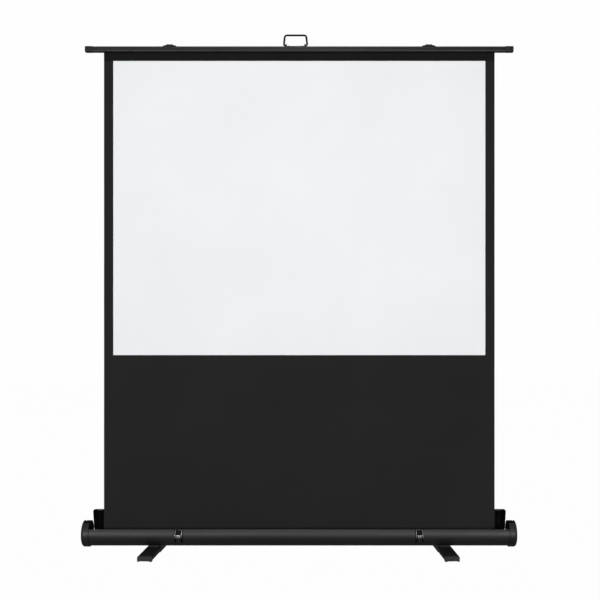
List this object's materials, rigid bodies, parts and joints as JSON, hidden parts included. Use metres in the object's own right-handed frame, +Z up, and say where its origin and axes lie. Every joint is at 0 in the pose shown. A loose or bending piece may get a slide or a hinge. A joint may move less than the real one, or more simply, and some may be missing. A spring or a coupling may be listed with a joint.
{
  "type": "floor-standing pull-up projection screen",
  "caption": "Projection screen with black-bordered white fabric that pulls up out of a long round floor case on swivel feet, carried by a folding scissor frame and a top bar with a handle.",
  "frame": {"origin": "centre of the floor footprint, on the floor, under the middle of the case", "axes": "+X along the case to the viewer's right, +Y away from the viewer, +Z up along the raised fabric"},
  "size_m": [1.858, 0.3478, 2.2209],
  "materials": {
    "case_metal": "dark grey satin coat",
    "cap_plastic": "dark grey satin moulding",
    "bar_metal": "dark grey satin coat",
    "bar_tip_plastic": "dark grey satin moulding",
    "black_plastic": "matte black moulding",
    "black_fabric": "matte black coated fabric",
    "white_fabric": "matte white projection surface",
    "arm_metal": "dark anodised",
    "handle_metal": "black painted wire",
    "pin_steel": "zinc plated",
    "latch_chrome": "polished plate",
    "foot_metal": "dark grey powder coat",
    "foot_plastic": "dark grey moulding",
    "shoe_rubber": "matte black"
  },
  "bodies": {
    "case": {"case_body": "case_metal", "case_end_cap_left": "cap_plastic", "case_end_cap_right": "cap_plastic", "roller_bracket_left": "black_plastic", "roller_bracket_right": "black_plastic", "spring_arbor": "pin_steel", "arm_channel_lower": "arm_metal", "pivot_pin_lower": "pin_steel", "latch_base_left": "black_plastic", "latch_base_right": "black_plastic", "foot_saddle_left": "black_plastic", "foot_saddle_right": "black_plastic", "foot_bolt_left": "pin_steel", "foot_bolt_right": "pin_steel", "screen_fabric": "black_fabric", "viewing_surface": "white_fabric"},
    "roller": {"roller_tube": "arm_metal", "roller_idle_plug": "black_plastic", "roller_spring_plug": "black_plastic", "spring_anchor": "black_plastic", "roller_spring": "pin_steel", "fabric_roll": "black_fabric"},
    "lower_front_arm": {"arm_lower_front": "arm_metal", "cross_pin_lower": "pin_steel", "elbow_pin_right": "pin_steel"},
    "lower_rear_arm": {"arm_lower_rear": "arm_metal", "slide_pin_lower": "pin_steel", "elbow_pin_left": "pin_steel"},
    "upper_front_arm": {"arm_upper_front": "arm_metal", "slide_pin_upper": "pin_steel"},
    "upper_rear_arm": {"arm_upper_rear": "arm_metal", "cross_pin_upper": "pin_steel"},
    "top_bar_assembly": {"top_bar": "bar_metal", "bar_tip_left": "bar_tip_plastic", "bar_tip_right": "bar_tip_plastic", "arm_channel_upper": "arm_metal", "pivot_pin_upper": "pin_steel", "hem_rod": "pin_steel", "bar_bumper_left": "bar_tip_plastic", "bar_bumper_right": "bar_tip_plastic", "handle_bracket": "black_plastic"},
    "handle": {"carry_handle": "handle_metal"},
    "lid_assembly": {"lid": "case_metal", "lid_end_left": "black_plastic", "lid_end_right": "black_plastic", "lid_keeper_left": "pin_steel", "lid_keeper_right": "pin_steel"},
    "latch_lever_left": {"latch_lever_left": "latch_chrome"},
    "latch_loop_left": {"latch_loop_left": "latch_chrome"},
    "foot_left": {"foot_bar_left": "foot_metal", "foot_plug_front_left": "foot_plastic", "foot_plug_rear_left": "foot_plastic", "foot_shoe_left": "shoe_rubber"},
    "latch_lever_right": {"latch_lever_right": "latch_chrome"},
    "latch_loop_right": {"latch_loop_right": "latch_chrome"},
    "foot_right": {"foot_bar_right": "foot_metal", "foot_plug_front_right": "foot_plastic", "foot_plug_rear_right": "foot_plastic", "foot_shoe_right": "shoe_rubber"}
  },
  "joints": [
    {"name": "fold", "type": "hinge", "parent": "case", "child": "lower_front_arm", "pos_m": [-0.62, 0.0145, 0.04631], "axis": [0, 1, 0], "range_deg": [0, 45.74], "deforming": ["screen_fabric", "viewing_surface"]},
    {"name": "elbow", "type": "hinge", "parent": "lower_front_arm", "child": "upper_rear_arm", "pos_m": [0.36538, 0.0145, 1.09631], "axis": [0, 1, 0], "range_deg": [-91.48, 0]},
    {"name": "lower_cross", "type": "hinge", "parent": "lower_front_arm", "child": "lower_rear_arm", "pos_m": [-0.12731, 0.0145, 0.57131], "axis": [0, 1, 0], "range_deg": [-91.48, 0]},
    {"name": "upper_cross", "type": "hinge", "parent": "upper_rear_arm", "child": "upper_front_arm", "pos_m": [-0.12731, 0.0145, 1.62131], "axis": [0, 1, 0], "range_deg": [0, 91.48]},
    {"name": "bar_pivot", "type": "hinge", "parent": "upper_rear_arm", "child": "top_bar_assembly", "pos_m": [-0.62, 0.0145, 2.14631], "axis": [0, 1, 0], "range_deg": [0, 45.74]},
    {"name": "roller_turn", "type": "hinge", "parent": "case", "child": "roller", "pos_m": [0, -0.02405, 0.0735], "axis": [1, 0, 0], "range_deg": [-5169.6, 0]},
    {"name": "handle_swing", "type": "hinge", "parent": "top_bar_assembly", "child": "handle", "pos_m": [-0.016, -0.007, 2.17371], "axis": [1, 0, 0], "range_deg": [-88, 88]},
    {"name": "lid_hinge", "type": "hinge", "parent": "case", "child": "lid_assembly", "pos_m": [0, 0.053, 0.0715], "axis": [-1, 0, 0], "range_deg": [-3, 55]},
    {"name": "latch_lever_turn_left", "type": "hinge", "parent": "case", "child": "latch_lever_left", "pos_m": [-0.512, -0.05896, 0.07956], "axis": [-1, 0, 0], "range_deg": [0, 110]},
    {"name": "latch_loop_turn_left", "type": "hinge", "parent": "latch_lever_left", "child": "latch_loop_left", "pos_m": [-0.512, -0.06055, 0.07007], "axis": [-1, 0, 0], "range_deg": [-110, 0]},
    {"name": "foot_swivel_left", "type": "hinge", "parent": "case", "child": "foot_left", "pos_m": [-0.622, 0, 0.022], "axis": [0, 0, 1], "range_deg": [0, 94.5]},
    {"name": "latch_lever_turn_right", "type": "hinge", "parent": "case", "child": "latch_lever_right", "pos_m": [0.512, -0.05896, 0.07956], "axis": [-1, 0, 0], "range_deg": [0, 110]},
    {"name": "latch_loop_turn_right", "type": "hinge", "parent": "latch_lever_right", "child": "latch_loop_right", "pos_m": [0.512, -0.06055, 0.07007], "axis": [-1, 0, 0], "range_deg": [-110, 0]},
    {"name": "foot_swivel_right", "type": "hinge", "parent": "case", "child": "foot_right", "pos_m": [0.622, 0, 0.022], "axis": [0, 0, 1], "range_deg": [-94.5, 0]}
  ],
  "couplings": [
    {"joint": "elbow", "follows": "fold", "ratio": -2},
    {"joint": "lower_cross", "follows": "fold", "ratio": -2},
    {"joint": "upper_cross", "follows": "fold", "ratio": 2},
    {"joint": "bar_pivot", "follows": "fold", "ratio": 1},
    {"joint": "roller_turn", "follows": "fold", "ratio": -113},
    {"joint": "latch_loop_turn_left", "follows": "latch_lever_turn_left", "ratio": -1},
    {"joint": "latch_loop_turn_right", "follows": "latch_lever_turn_right", "ratio": -1}
  ]
}
